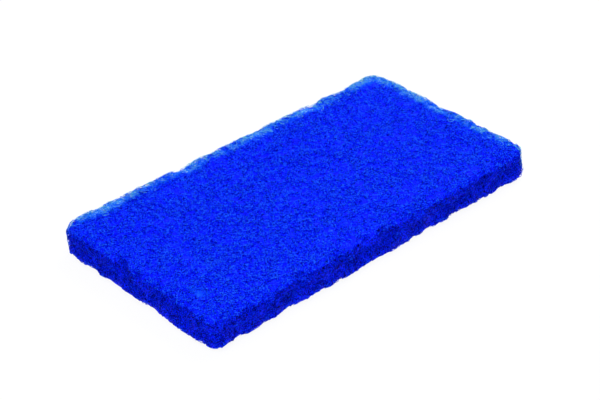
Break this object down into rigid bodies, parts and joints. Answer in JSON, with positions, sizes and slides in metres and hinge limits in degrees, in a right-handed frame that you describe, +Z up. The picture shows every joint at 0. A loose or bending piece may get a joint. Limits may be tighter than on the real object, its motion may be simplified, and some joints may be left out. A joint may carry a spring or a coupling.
{
  "type": "nylon scouring pad",
  "caption": "Rectangular pad of lofty, resin-bonded blue nylon web with rounded corners and soft, ragged cut sides, for scouring by hand or under a pad holder.",
  "frame": {"origin": "middle of the underside, on the plane the pad lies on", "axes": "+X along the length, +Y across the width, +Z up through the thickness"},
  "size_m": [0.245, 0.127, 0.021],
  "materials": {
    "nylon_web": "open nonwoven web of curled nylon fibres, spray-bonded with resin, bright blue with darker pores"
  },
  "bodies": {
    "root": {"pad": "nylon_web"}
  },
  "joints": []
}
